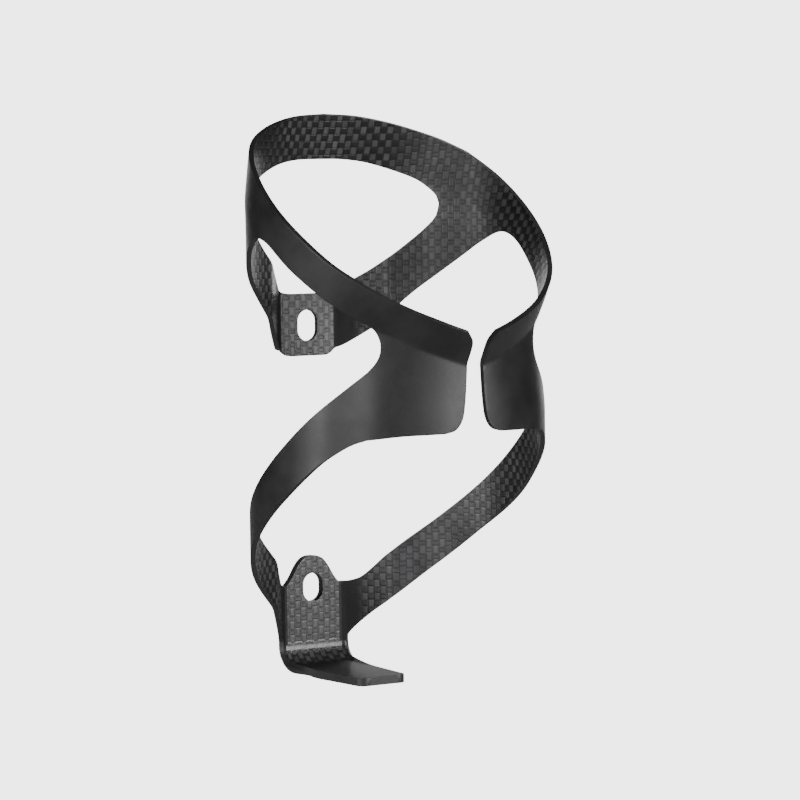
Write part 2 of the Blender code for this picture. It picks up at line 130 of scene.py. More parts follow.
LOWER_LOW = [(9.3, -2.4), (10.8, -1.3), (13, -0.1), (16, 1.4), (21.6, 3.9), (30, 7.3), (50, 16.1),
             (62, 21.5), (70, 25.0), (90, 33.1), (110, 42.0), (120, 46.3), (130, 49.7), (137, 51.1),
             (150, 51.9), (160, 52.1), (165, 52.2)]
WING_FRONT = [(167, 52.2), (171.3, 53.0), (174.2, 55.3), (175.4, 59), (176.2, 65), (176.5, 70),
              (176.1, 73.2), (173.6, 75.3)]
LEAN_WIDTH = [(0, 10.5), (60, 11), (90, 8.6), (120, 8), (150, 7), (180, 7)]
LEAN = [(0, 4.2), (30, 3.4), (60, 2.6), (90, 3.6), (120, 4.6), (150, 4.2), (180, 4.0)]
SHELF_WIDTHS = [(6, 9.5), (10, 8.6), (14, 8.0), (20, 7.4), (34, 6.4)]  # (reach, half width)
POINT_SPACING = 0.6  # degrees kept clear beside a trimmed end
NEAREST_NOTCH = 3    # degrees the wing's edge points stay away from its seam
WING_LOW_END = 160   # last bottom-edge point the wing uses before its front
WING_TOP_END = 170   # last top-edge point it uses

# plate outlines in millimetres: right half, (x, z), without the points on the plate's edge
UPPER_PLATE_BOTTOM = [(0, 66.6), (2, 66.6), (5.0, 66.62), (6.4, 67.1)]
UPPER_PLATE_TOP = [(6.2, 81.95), (4.4, 81.8), (2, 81.75), (0, 81.75)]
PLATE_DOME = [(6.6, 11.7), (5.6, 13.1), (4.4, 15.1), (3.0, 16.8), (1.5, 17.6), (0, 17.75)]

# ranges over which a shape eases in: heights in millimetres, angles in degrees
HOOP_RISE = (74, 82)    # hoop widening comes in
LIP_RISE = (96, 116)    # lip widening comes in
LOW_FALL = (34, 46)     # low widening dies out
BOSS_RELEASE = (BOSS_BLEND_ANGLE, BOSS_BLEND_ANGLE + 20)  # widening comes in past the boss
FLARE_FALL = (55, 68)   # flare dies out upwards
FLARE_RISE = (98, 122)  # flare comes in along the arm
FLARE_END = (135, 180)  # and dies out along the wing

# ---- fineness of the grids ----
UPPER_ROWS = 12       # strut rows below the hole's tip
BAND_ROWS = 10        # band rows above it
FOOT_ROWS = 3         # boss wall rows below the plate's foot
PLATE_ROWS = 12
NOTCH_ROWS = 12
JUNCTION_COLUMNS = 6
BEND_COLUMNS = 8
BEND_CROWDING = 1.5   # gathers the strut's columns at the plate's bend
PLATE_COLUMNS = 14
PLATE_RINGS = 7       # rings from a slot out to the plate's outline
RING_CROWDING = 1.2   # gathers them at the slot
PLATE_CORNER_STEPS = 10
PLATE_TOP_STEPS = 8
DOME_STEPS = 14
STRUT_COLUMNS = 36
BAND_COLUMNS = 32
ARM_COLUMNS = 50
LOWER_STRUT_COLUMNS = 40
WING_COLUMNS = 26
SHELF_BEND_STEPS = 14
SHELF_FLAT_STEPS = 28
SHELF_CORNER_STEPS = 6
CURVE_STEPS = 16      # fine steps between two pattern points
MERGE_GRID = 1e5      # corners nearer than a hundredth of a millimetre are merged
MERGE_OFFSET = 0.137  # keeps round values off the rounding edge

SIDES = (("left", -1), ("right", 1))
NAMES = ["upper_mount_plate", "lower_mount_plate", "bottom_shelf", "back_band"]
NAMES += [f"{word}_{part}" for word, side in SIDES
          for part in ("upper_strut", "side_arm", "lower_strut", "lower_arm", "grip_wing")]
SIDE_A, SIDE_B, RIM = 0, 1, 2  # which face of the laminate, kept in the material index
FACES = 3                      # faces of the laminate for each piece label


# ---- curves ----
def ease(t):
    t = min(1.0, max(0.0, t))
    return t * t * (3 - 2 * t)


def ramp(value, ends):
    """0 up to the first end, 1 from the second, smooth between."""
    return ease((value - ends[0]) / (ends[1] - ends[0]))


def curve_value(points, angle):
    """Height on a pattern edge at an angle: smooth cubic through its points."""
    if angle <= points[0][0]:
        return points[0][1]
    for i in range(len(points) - 1):
        if angle <= points[i + 1][0]:
            break
    a0, z0 = points[i]
    a1, z1 = points[i + 1]
    before = points[i - 1] if i > 0 else (2 * a0 - a1, 2 * z0 - z1)
    after = points[i + 2] if i + 2 < len(points) else (2 * a1 - a0, 2 * z1 - z0)
    slope0 = (z1 - before[1]) / (a1 - before[0])
    slope1 = (after[1] - z0) / (after[0] - a0)
    t = min(1.0, (angle - a0) / (a1 - a0))
    h = a1 - a0
    return ((2 * t ** 3 - 3 * t ** 2 + 1) * z0 + (t ** 3 - 2 * t ** 2 + t) * h * slope0
            + (3 * t ** 2 - 2 * t ** 3) * z1 + (t ** 3 - t ** 2) * h * slope1)


def on_edge(points, angle):
    """Pattern point on an edge at an angle."""
    return (angle, curve_value(points, angle))


def resample(points, count, crowding=1.0, scale=(DEGREE, 1.0)):
    """Smooth curve through the points, split by length; crowding above 1 gathers points at the start."""
    fine = []
    for i in range(len(points) - 1):
        p1 = points[i]
        p2 = points[i + 1]
        p0 = points[i - 1] if i > 0 else (2 * p1[0] - p2[0], 2 * p1[1] - p2[1])
        p3 = points[i + 2] if i + 2 < len(points) else (2 * p2[0] - p1[0], 2 * p2[1] - p1[1])
        for k in range(CURVE_STEPS):
            t = k / CURVE_STEPS
            fine.append(tuple(
                0.5 * (2 * b + (c - a) * t + (2 * a - 5 * b + 4 * c - d) * t ** 2
                       + (3 * b - a - 3 * c + d) * t ** 3)
                for a, b, c, d in zip(p0, p1, p2, p3)))
    fine.append(points[-1])
    lengths = [0.0]
    for p, n in zip(fine, fine[1:]):
        lengths.append(lengths[-1] + math.hypot((n[0] - p[0]) * scale[0], (n[1] - p[1]) * scale[1]))
    result = []
    j = 0
    for k in range(count + 1):
        goal = lengths[-1] * (k / count) ** crowding
        while j < len(fine) - 2 and lengths[j + 1] < goal:
            j += 1
        span = lengths[j + 1] - lengths[j]
        t = (goal - lengths[j]) / span if span > 0 else 0.0
        t = min(1.0, max(0.0, t))
        result.append(tuple(a + t * (b - a) for a, b in zip(fine[j], fine[j + 1])))
    return result


def straight(start, end, count):
    """Evenly spaced points from start to end."""
    return [tuple(a + (b - a) * k / count for a, b in zip(start, end)) for k in range(count + 1)]


def between(points, first, last):
    """Part of an edge between two angles, ends included."""
    middle = [p for p in points if first + POINT_SPACING < p[0] < last - POINT_SPACING]
    return [on_edge(points, first)] + middle + [on_edge(points, last)]


# ---- mandrel ----
def boss_layout():
    """Slope and length of the straight boss wall between its two bends."""
    centre1 = (PLATE_HALF_WIDTH, AXIS_SETBACK - WALL / 2 - BOSS_BEND_RADIUS)
    turn = math.radians(BOSS_BLEND_ANGLE)
    reach = HOOP_RADIUS + BOSS_BLEND_RADIUS
    centre2 = (reach * math.sin(turn), reach * math.cos(turn))
    dx = centre2[0] - centre1[0]
    dy = centre2[1] - centre1[1]
    distance = math.hypot(dx, dy)
    radii = BOSS_BEND_RADIUS + BOSS_BLEND_RADIUS
    slope = -math.atan2(dy, dx) + math.asin(radii / distance)
    return slope, math.sqrt(distance ** 2 - radii ** 2)


BOSS_SLOPE, BOSS_STRAIGHT = boss_layout()
BOSS_LENGTH = (BOSS_STRAIGHT + BOSS_BEND_RADIUS * BOSS_SLOPE
               + BOSS_BLEND_RADIUS * (BOSS_SLOPE - math.radians(BOSS_BLEND_ANGLE)))
PLATE_ANGLE = BOSS_BLEND_ANGLE - math.degrees(BOSS_LENGTH / HOOP_RADIUS)  # pattern angle of the plate's edge


def boss_point(angle):
    """Plan position on the boss side, walking back from the hoop towards the plate."""
    blend = math.radians(BOSS_BLEND_ANGLE)
    back = math.radians(BOSS_BLEND_ANGLE - angle) * HOOP_RADIUS
    blend_length = BOSS_BLEND_RADIUS * (BOSS_SLOPE - blend)
    reach = HOOP_RADIUS + BOSS_BLEND_RADIUS
    turned = blend + min(back, blend_length) / BOSS_BLEND_RADIUS
    x = reach * math.sin(blend) - BOSS_BLEND_RADIUS * math.sin(turned)
    y = reach * math.cos(blend) - BOSS_BLEND_RADIUS * math.cos(turned)
    back -= blend_length
    if back > 0:
        step = min(back, BOSS_STRAIGHT)
        x -= step * math.cos(BOSS_SLOPE)
        y += step * math.sin(BOSS_SLOPE)
        back -= BOSS_STRAIGHT
    if back > 0:
        left = max(0.0, BOSS_SLOPE - back / BOSS_BEND_RADIUS)
        x = PLATE_HALF_WIDTH + BOSS_BEND_RADIUS * math.sin(left)
        y = AXIS_SETBACK - WALL / 2 - BOSS_BEND_RADIUS * (1 - math.cos(left))
    return x, y


def soft_ramp(t, softness):
    """0 below the crease, t above it, rounded over the softness either side."""
    if t < -softness:
        return 0.0
    if t > softness:
        return t
    return (t + softness) ** 2 / (4 * softness)


def thick_share(angle):
    """1 at the lower plate's edge, easing to 0 where the ribbon's own wall is reached."""
    return 1 - ease((angle - PLATE_ANGLE) / WALL_EASE)


def wrap(angle, height, side, kind):
    """Pattern point (degrees, millimetres) to a point on the shell's middle surface."""
    below_top = curve_value(TOP_EDGE, angle) - height
    reach = 1 - below_top / curve_value(LEAN_WIDTH, angle)
    lean = MM * curve_value(LEAN, angle) * soft_ramp(reach, CREASE_SOFTNESS)
    flare = FLARE * (1 - ramp(height, FLARE_FALL)) * ramp(angle, FLARE_RISE) * (1 - ramp(angle, FLARE_END))
    widening = HOOP_WIDENING * ramp(height, HOOP_RISE) + LIP_WIDENING * ramp(height, LIP_RISE)
    widening += LOW_WIDENING * (1 - ramp(height, LOW_FALL))
    if kind != "band":
        widening *= ramp(angle, BOSS_RELEASE)
    radius = HOOP_RADIUS + flare + widening
    if kind != "band" and angle < BOSS_BLEND_ANGLE:
        x, y = boss_point(angle)
    else:
        x = radius * math.sin(math.radians(angle))
        y = radius * math.cos(math.radians(angle))
    if kind == "lower":
        y -= (LOWER_PLATE_WALL - WALL) / 2 * thick_share(angle)
    return side * x, y - AXIS_SETBACK - lean, height * MM


# ---- middle surface ----
class Surface:
    """Quads gathered from the patches, with shared corners merged by place."""

    def __init__(self):
        self.index = {}
        self.places = []
        self.walls = []
        self.faces = []
        self.labels = []
        self.maps = []

    def corner(self, place, wall):
        key = tuple(round(c * MERGE_GRID + MERGE_OFFSET) for c in place)
        if key not in self.index:
            self.index[key] = len(self.places)
            self.places.append(place)
            self.walls.append(wall)
        return self.index[key]

    def add_grid(self, places, maps, walls, name, flip):
        """Grid rows of places, weave coordinates and wall thicknesses."""
        for j in range(len(places) - 1):
            for i in range(len(places[0]) - 1):
                ring = [(j, i), (j, i + 1), (j + 1, i + 1), (j + 1, i)]
                if flip:
                    ring.reverse()
                corners = [self.corner(places[a][b], walls[a][b]) for a, b in ring]
                if len(set(corners)) < 3:
                    continue
                uv = [maps[a][b] for a, b in ring]
                kept = [k for k in range(4) if corners[k] not in corners[:k]]
                self.faces.append([corners[k] for k in kept])
                self.maps.append([uv[k] for k in kept])
                self.labels.append(NAMES.index(name))


def coons(bottom, top, left, right):
    """Grid of pattern points filling four edges."""
    columns = len(bottom) - 1
    rows = len(left) - 1
    grid = []
    for j in range(rows + 1):
        v = j / rows
        line = []
        for i in range(columns + 1):
            u = i / columns
            point = []
            for k in range(2):
                ruled = (1 - u) * left[j][k] + u * right[j][k] + (1 - v) * bottom[i][k] + v * top[i][k]
                corners = ((1 - u) * (1 - v) * left[0][k] + u * (1 - v) * right[0][k]
                           + (1 - u) * v * left[-1][k] + u * v * right[-1][k])
                point.append(ruled - corners)
            line.append(tuple(point))
        grid.append(line)
    return grid


def filled(low, high, left, right, columns, crowding=1.0):
    """Grid between two edges, resampled to the columns, and two rows of points."""
    return coons(resample(low, columns, crowding), resample(high, columns, crowding), left, right)


def add_patch(surface, pattern, side, kind, name):
    """Wraps a grid of pattern points and adds it to the surface."""
    places = [[wrap(a, h, side, kind) for a, h in line] for line in pattern]
    maps = [[(side * a * DEGREE, h) for a, h in line] for line in pattern]
    extra = LOWER_PLATE_WALL - WALL if kind == "lower" else 0.0
    walls = [[WALL + extra * thick_share(a) for a, h in line] for line in pattern]
    surface.add_grid(places, maps, walls, name, side < 0)


def upper_side(surface, side, word):
    """Upper strut, half the back band and the side arm on one side."""
    tip_angle, tip_height = HOLE_TIP
    seam_low = on_edge(STRUT_LOW, SEAM_ANGLE)
    seam_high = on_edge(TOP_EDGE, SEAM_ANGLE)
    seam_middle = (SEAM_ANGLE, tip_height)
    tip_low = on_edge(STRUT_LOW, tip_angle)
    tip_high = on_edge(TOP_EDGE, tip_angle)
    level = straight(HOLE_TIP, seam_middle, JUNCTION_COLUMNS)

    low = between(STRUT_LOW, PLATE_ANGLE, tip_angle)
    high = between(HOLE_LOW[:-1], PLATE_ANGLE, HOLE_LOW[-2][0]) + [HOLE_TIP]
    tip_left = straight(tip_low, HOLE_TIP, UPPER_ROWS)
    plate_edge = straight(low[0], high[0], UPPER_ROWS)
    strut = filled(low, high, plate_edge, tip_left, STRUT_COLUMNS, BEND_CROWDING)
    add_patch(surface, strut, side, "upper", word + "_upper_strut")

    low = between(STRUT_LOW, tip_angle, SEAM_ANGLE)
    seam_strut = straight(seam_low, seam_middle, UPPER_ROWS)
    joint = coons(resample(low, JUNCTION_COLUMNS), level, tip_left, seam_strut)
    add_patch(surface, joint, side, "upper", word + "_upper_strut")

    high = between(TOP_EDGE, 0, tip_angle)
    tip_right = straight(HOLE_TIP, tip_high, BAND_ROWS)
    centre = straight(HOLE_TOP[0], TOP_EDGE[0], BAND_ROWS)
    band = filled(HOLE_TOP, high, centre, tip_right, BAND_COLUMNS)
    add_patch(surface, band, side, "band", "back_band")

    high = between(TOP_EDGE, tip_angle, SEAM_ANGLE)
    seam_band = straight(seam_middle, seam_high, BAND_ROWS)
    end = coons(level, resample(high, JUNCTION_COLUMNS), tip_right, seam_band)
    add_patch(surface, end, side, "band", "back_band")

    arm_end = straight(on_edge(ARM_LOW, ARM_END_ANGLE), on_edge(TOP_EDGE, ARM_END_ANGLE),
                       UPPER_ROWS + BAND_ROWS)
    high = between(TOP_EDGE, SEAM_ANGLE, ARM_END_ANGLE)
    arm = filled(ARM_LOW, high, seam_strut + seam_band[1:], arm_end, ARM_COLUMNS)
    add_patch(surface, arm, side, "arm", word + "_side_arm")
    return arm_end


def plate_edge_rows():
    """Pattern points up the lower plate's edge, which the plate and the boss wall share."""
    foot = (PLATE_ANGLE, PLATE_FOOT_Z / MM)
    knee = (PLATE_ANGLE, LOWER_LOW[0][1])
    top = on_edge(LOWER_TOP, PLATE_ANGLE)
    return straight(foot, knee, FOOT_ROWS) + straight(knee, top, PLATE_ROWS)[1:]


def lower_side(surface, side, word):
    """Boss wall, lower strut and lower arm on one side."""
    knee_angle, knee_height = LOWER_LOW[0]
    foot = PLATE_FOOT_Z / MM
    angles = [a for a, _ in straight((PLATE_ANGLE, 0), (knee_angle, 0), BEND_COLUMNS)]
    knee_rows = straight((knee_angle, knee_height), on_edge(LOWER_TOP, knee_angle), PLATE_ROWS)
    right = straight((knee_angle, foot), (knee_angle, knee_height), FOOT_ROWS) + knee_rows[1:]
    wall = coons([(a, foot) for a in angles], [on_edge(LOWER_TOP, a) for a in angles],
                 plate_edge_rows(), right)
    add_patch(surface, wall, side, "lower", word + "_lower_strut")

    low = between(LOWER_LOW, knee_angle, SEAM_ANGLE)
    high = between(LOWER_TOP, knee_angle, SEAM_ANGLE)
    seam = straight(low[-1], high[-1], PLATE_ROWS)
    strut = filled(low, high, knee_rows, seam, LOWER_STRUT_COLUMNS)
    add_patch(surface, strut, side, "lower", word + "_lower_strut")

    low = between(LOWER_LOW, SEAM_ANGLE, ARM_END_ANGLE)
    high = between(LOWER_TOP, SEAM_ANGLE, ARM_END_ANGLE)
    end = straight(low[-1], high[-1], PLATE_ROWS)
    arm = filled(low, high, seam, end, ARM_COLUMNS)
    add_patch(surface, arm, side, "arm", word + "_lower_arm")
    return end


def grip_wing(surface, side, word, arm_end, lower_end):
    """Front pad that joins the two arms of one side."""
    notch = resample(NOTCH, NOTCH_ROWS)
    left = lower_end + notch[1:-1] + arm_end
    low = between(LOWER_LOW, ARM_END_ANGLE, WING_LOW_END) + [WING_FRONT[0]]
    high = [arm_end[-1]]
    high += [p for p in TOP_EDGE if ARM_END_ANGLE + NEAREST_NOTCH < p[0] < WING_TOP_END] + [WING_FRONT[-1]]
    wing = filled(low, high, left, resample(WING_FRONT, len(left) - 1), WING_COLUMNS)
    add_patch(surface, wing, side, "arm", word + "_grip_wing")


def slot_point(direction, centre_z, slot_length):
    """Where a ray from the slot's centre meets its round-ended outline."""
    radius = SLOT_WIDTH / 2
    half = (slot_length - SLOT_WIDTH) / 2
    dx, dz = direction
    if abs(dx) > 1e-9 and abs(dz / dx) * radius <= half:
        t = radius / abs(dx)
    else:
        c = math.copysign(half, dz)
        t = dz * c + math.sqrt((dz * c) ** 2 - (c * c - radius * radius))
    return (t * dx, centre_z + t * dz)


def add_plate(surface, outline, centre_z, slot_length, wall, name):
    """Upright plate: rings from the slot out to the outline, back face on the mounting plane."""
    closed = outline + outline[:1]
    grid = []
    for k in range(PLATE_RINGS + 1):
        t = (k / PLATE_RINGS) ** RING_CROWDING
        line = []
        for x, z in closed:
            length = math.hypot(x, z - centre_z)
            inner = slot_point((x / length, (z - centre_z) / length), centre_z, slot_length)
            line.append((inner[0] + t * (x - inner[0]), inner[1] + t * (z - inner[1])))
        grid.append(line)
    places = [[(x, -wall / 2, z) for x, z in line] for line in grid]
    maps = [[(x / MM, z / MM + PLATE_SWATCH) for x, z in line] for line in grid]
    surface.add_grid(places, maps, [[wall] * len(closed)] * len(grid), name, True)


def on_plate_edge(points):
    """Pattern points at the plate's edge as outline points in metres."""
    return [(PLATE_HALF_WIDTH, h * MM) for a, h in points]


def in_metres(points):
    return [(x * MM, z * MM) for x, z in points]


def mirrored_outline(right_half):
    """Closed outline from its right half, which runs up from the bottom centre to the top centre."""
    left_half = [(-x, z) for x, z in right_half[::-1] if x > 1 / MERGE_GRID]
    return right_half + left_half


def upper_mount_plate(surface):
    low = curve_value(STRUT_LOW, PLATE_ANGLE)
    high = curve_value(HOLE_LOW, PLATE_ANGLE)
    sides = on_plate_edge(straight((PLATE_ANGLE, low), (PLATE_ANGLE, high), UPPER_ROWS))
    half = PLATE_HALF_WIDTH / MM
    bottom = resample(UPPER_PLATE_BOTTOM + [(half, low)], PLATE_CORNER_STEPS, scale=(1, 1))
    top = resample([(half, high)] + UPPER_PLATE_TOP, PLATE_TOP_STEPS, scale=(1, 1))
    right = in_metres(bottom[:-1]) + sides + in_metres(top[1:])
    add_plate(surface, mirrored_outline(right), UPPER_SLOT_Z, UPPER_SLOT_LENGTH, WALL, "upper_mount_plate")


def lower_mount_plate(surface):
    sides = on_plate_edge(plate_edge_rows())
    high = curve_value(LOWER_TOP, PLATE_ANGLE)
    half = PLATE_HALF_WIDTH
    bottom = [(half * 2 * k / PLATE_COLUMNS, PLATE_FOOT_Z) for k in range(PLATE_COLUMNS // 2)]
    dome = resample([(half / MM, high)] + PLATE_DOME, DOME_STEPS, scale=(1, 1))
    right = bottom + sides + in_metres(dome[1:])
    add_plate(surface, mirrored_outline(right), LOWER_SLOT_Z, LOWER_SLOT_LENGTH, LOWER_PLATE_WALL,
              "lower_mount_plate")


def shelf_stations():
    """Side view of the shelf's middle: (y, z, inward direction, whether still in the bend)."""
    radius = PLATE_FOOT_Z - SHELF_TOP_Z + LOWER_PLATE_WALL / 2
    centre_y = -LOWER_PLATE_WALL / 2 - radius
    stations = []
    for k in range(SHELF_BEND_STEPS + 1):
        turn = math.pi / 2 * k / SHELF_BEND_STEPS
        y = centre_y + radius * math.cos(turn)
        z = PLATE_FOOT_Z - radius * math.sin(turn)
        stations.append((y, z, (-math.cos(turn), math.sin(turn)), k < SHELF_BEND_STEPS))
    flat_z = SHELF_TOP_Z - LOWER_PLATE_WALL / 2
    corner_start = SHELF_FRONT_Y + SHELF_CORNER
    for k in range(1, SHELF_FLAT_STEPS + 1):
        y = centre_y + (corner_start - centre_y) * k / SHELF_FLAT_STEPS
        stations.append((y, flat_z, (0.0, 1.0), False))
    for k in range(1, SHELF_CORNER_STEPS + 1):
        turn = CORNER_TURN * k / SHELF_CORNER_STEPS
        stations.append((corner_start - SHELF_CORNER * math.sin(turn), flat_z, (0.0, 1.0), False))
    return stations


def flange_line(y, in_bend):
    """Turned-up edge at one station: (turn, strip length, flat half width, share of the boss shape)."""
    length = math.radians(LOWER_LOW[0][0] - PLATE_ANGLE) * HOOP_RADIUS
    if in_bend:
        return BOSS_SLOPE, length, PLATE_HALF_WIDTH, 1.0
    faded = ramp(-y, (FLANGE_START, FLANGE_END))
    turn = BOSS_SLOPE * (1 - faded)
    length -= FLANGE_TAPER * faded
    spread = BOSS_BEND_RADIUS * math.sin(turn) + max(0.0, length - BOSS_BEND_RADIUS * turn) * math.cos(turn)
    near_front = max(0.0, SHELF_FRONT_Y + SHELF_CORNER - y) / SHELF_CORNER
    half = curve_value(SHELF_WIDTHS, -y / MM) * MM - SHELF_CORNER * (1 - math.sqrt(1 - near_front ** 2))
    return turn, length, half - spread, 1 - faded


def bottom_shelf(surface):
    """Plate foot bent forward into the tongue the bottle stands on, its edges turned up beside the bend."""
    extra = LOWER_PLATE_WALL - WALL
    places = []
    maps = []
    walls = []
    run = PLATE_FOOT_Z / MM + PLATE_SWATCH
    previous = None
    for y, z, inward, in_bend in shelf_stations():
        if previous:
            run -= math.hypot(y - previous[0], z - previous[1]) / MM
        previous = (y, z)
        turn, length, flat, share = flange_line(y, in_bend)
        strip = []
        for k in range(1, BEND_COLUMNS + 1):
            t = length * k / BEND_COLUMNS
            turned = min(turn, t / BOSS_BEND_RADIUS)
            beyond = t - turned * BOSS_BEND_RADIUS
            thin = share * (1 - thick_share(PLATE_ANGLE + math.degrees(t / HOOP_RADIUS)))
            x = flat + BOSS_BEND_RADIUS * math.sin(turned) + beyond * math.cos(turn)
            rise = BOSS_BEND_RADIUS * (1 - math.cos(turned)) + beyond * math.sin(turn) - extra / 2 * thin
            strip.append((x, rise, LOWER_PLATE_WALL - extra * thin, flat + t))
        line = [(-x, rise, wall, -u) for x, rise, wall, u in strip[::-1]]
        for i in range(PLATE_COLUMNS + 1):
            x = flat * (2 * i / PLATE_COLUMNS - 1)
            line.append((x, 0.0, LOWER_PLATE_WALL, x))
        line += strip
        places.append([(x, y + rise * inward[0], z + rise * inward[1]) for x, rise, wall, u in line])
        walls.append([wall for x, rise, wall, u in line])
        maps.append([(u / MM, run) for x, rise, wall, u in line])
    surface.add_grid(places, maps, walls, "bottom_shelf", True)


def middle_surface():
    surface = Surface()
    for word, side in SIDES:
        arm_end = upper_side(surface, side, word)
        lower_end = lower_side(surface, side, word)
        grip_wing(surface, side, word, arm_end, lower_end)
    upper_mount_plate(surface)
    lower_mount_plate(surface)
    bottom_shelf(surface)
    return surface


# ---- solid shell ----
def face_one_way(mesh):
    """Turns every face of the middle surface to the same side."""
    work = bmesh.new()
    work.from_mesh(mesh)
    bmesh.ops.recalc_face_normals(work, faces=work.faces)
    work.to_mesh(mesh)
    work.free()


def thickened_shell(surface):
    """Closed shell with rounded rims; the material index keeps piece label and face of the laminate."""
    mesh = bpy.data.meshes.new("shell")
    mesh.from_pydata(surface.places, [], surface.faces)
    weave = mesh.uv_layers.new(name="weave")
    weave.data.foreach_set("uv", [c for corners in surface.maps for uv in corners for c in uv])
    for _ in range(FACES * len(NAMES)):
        mesh.materials.append(None)
    mesh.polygons.foreach_set("material_index", [FACES * label for label in surface.labels])
    mesh.polygons.foreach_set("use_smooth", [True] * len(mesh.polygons))
    face_one_way(mesh)
    shell = bpy.data.objects.new("shell", mesh)
    bpy.context.scene.collection.objects.link(shell)
    group = shell.vertex_groups.new(name="wall")
    for i, wall in enumerate(surface.walls):
        group.add([i], wall / LOWER_PLATE_WALL, "REPLACE")
    solid = shell.modifiers.new("laminate", "SOLIDIFY")
    solid.thickness = LOWER_PLATE_WALL
    solid.vertex_group = "wall"
    solid.offset = 0
    solid.use_even_offset = True
    solid.use_quality_normals = True
    solid.material_offset = SIDE_B
    solid.material_offset_rim = RIM
    rims = shell.modifiers.new("rims", "BEVEL")
    rims.width = RIM_ROUNDING
    rims.segments = RIM_STEPS
    rims.limit_method = "ANGLE"
    rims.angle_limit = RIM_ANGLE
    rims.use_clamp_overlap = True
    shading = shell.modifiers.new("shading", "WEIGHTED_NORMAL")
    shading.mode = "FACE_AREA"
    shading.keep_sharp = False
    bpy.context.view_layer.update()
    solid_mesh = bpy.data.meshes.new_from_object(shell.evaluated_get(bpy.context.evaluated_depsgraph_get()))
    bpy.data.objects.remove(shell, do_unlink=True)
    return solid_mesh


def boundary_loops(faces):
    """Closed loops of the edges that only one face uses, in cap winding."""
    used = set()
    for ring in faces:
        for a, b in zip(ring, ring[1:] + ring[:1]):
            used.add((a, b))
    onward = {b: a for a, b in used if (b, a) not in used}
    loops = []
    while onward:
        start, step = next(iter(onward.items()))
        del onward[start]
        ring = [start]
        while step != start:
            ring.append(step)
            step = onward.pop(step)
        loops.append(ring)
    return loops


def ladder(ring, places):
    """Triangles across a long thin closed loop, from one of its ends to the other."""
    count = len(ring)
    points = [Vector(places[v]) for v in ring]
    arm = max(3, count // 6)
    spans = []
    for i in range(count):
        path = sum((points[(i + k + 1) % count] - points[(i + k) % count]).length for k in range(-arm, arm))
        spans.append(path / (points[(i + arm) % count] - points[i - arm]).length)
    end = spans.index(max(spans))
    back = end
    ahead = end + 1
    triangles = []
    for _ in range(count - 2):
        step_back = (points[(back - 1) % count] - points[ahead % count]).length
        step_ahead = (points[back % count] - points[(ahead + 1) % count]).length
        if step_back < step_ahead:
            triangles.append([ring[(back - 1) % count], ring[back % count], ring[ahead % count]])
            back -= 1
        else:
            triangles.append([ring[back % count], ring[ahead % count], ring[(ahead + 1) % count]])
            ahead += 1
    return triangles


def cut_piece(name, rings, sides, maps, normals, places, materials):
    """One piece of the shell as its own object, ends capped, with the shell's own shading."""
    ends = boundary_loops(rings)
    caps = [triangle for ring in ends for triangle in ladder(ring, places)]
    numbers = {}
    for ring in rings:
        for vertex in ring:
            numbers.setdefault(vertex, len(numbers))
    faces = [[numbers[v] for v in ring] for ring in rings + caps]
    mesh = bpy.data.meshes.new(name)
    mesh.from_pydata([places[v] for v in numbers], [], faces)
    for material in materials:
        mesh.materials.append(material)
    mesh.polygons.foreach_set("material_index", sides + [1] * len(caps))
    mesh.polygons.foreach_set("use_smooth", [True] * len(rings) + [False] * len(caps))
    weave = mesh.uv_layers.new(name="weave")
    filler = sum(len(cap) for cap in caps)
    weave.data.foreach_set("uv", np.concatenate([np.array(maps).ravel(), np.zeros(2 * filler)]))
    cap_edges = {frozenset((numbers[a], numbers[b]))
                 for ring in ends for a, b in zip(ring, ring[1:] + ring[:1])}
    sharp = mesh.attributes.new("sharp_edge", "BOOLEAN", "EDGE")
    sharp.data.foreach_set("value", [frozenset(edge.vertices) in cap_edges for edge in mesh.edges])
    mesh.update()
    cap_normals = []
    for polygon in mesh.polygons[len(rings):]:
        cap_normals += [tuple(polygon.normal)] * polygon.loop_total
    mesh.normals_split_custom_set([tuple(n) for n in normals] + cap_normals)
    piece = bpy.data.objects.new(name + "_shell", mesh)
    bpy.context.scene.collection.objects.link(piece)
    return piece


def mark_rims(mesh, rings, highlight_rim):
    """Vertex value the materials read for a painted highlight on the rims: 1 on the rims, 0 on the open
    faces.
    """
    order = list(dict.fromkeys(vertex for ring in rings for vertex in ring))
    rim = mesh.attributes.new("rim", "FLOAT", "POINT")
    rim.data.foreach_set("value", [float(vertex in highlight_rim) for vertex in order])


def cut_pieces(shell, woven, satin):
    """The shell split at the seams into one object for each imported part."""
    places = [tuple(vertex.co) for vertex in shell.vertices]
    normals = np.zeros(3 * len(shell.loops))
    shell.corner_normals.foreach_get("vector", normals)
    normals = normals.reshape(-1, 3)
    uv = np.zeros(2 * len(shell.loops))
    shell.uv_layers["weave"].data.foreach_get("uv", uv)
    uv = uv.reshape(-1, 2)
    inner = inner_side(shell)
    pieces = {}
    for label, name in enumerate(NAMES):
        own = [p for p in shell.polygons if p.material_index // FACES == label]
        rings = [list(p.vertices) for p in own]
        loops = [i for p in own for i in p.loop_indices]
        sides = [0 if p.material_index % FACES == inner else 1 for p in own]
        # rim vertices, which get a painted highlight
        highlight_rim = {v for p in own if p.material_index % FACES == RIM for v in p.vertices}
        piece = cut_piece(name, rings, sides, uv[loops], normals[loops], places, (woven, satin))
        mark_rims(piece.data, rings, highlight_rim)
        pieces[name] = piece
    return pieces


def inner_side(shell):
    """Which laminate side faces the bottle, judged on the lower mount plate."""
    plate = NAMES.index("lower_mount_plate")
    for side in (SIDE_A, SIDE_B):
        own = [p for p in shell.polygons if p.material_index == FACES * plate + side]
        facing = sum(p.normal.y * p.area for p in own)
        if facing < 0:
            return side
    raise ValueError("no side of the plate faces the bottle")


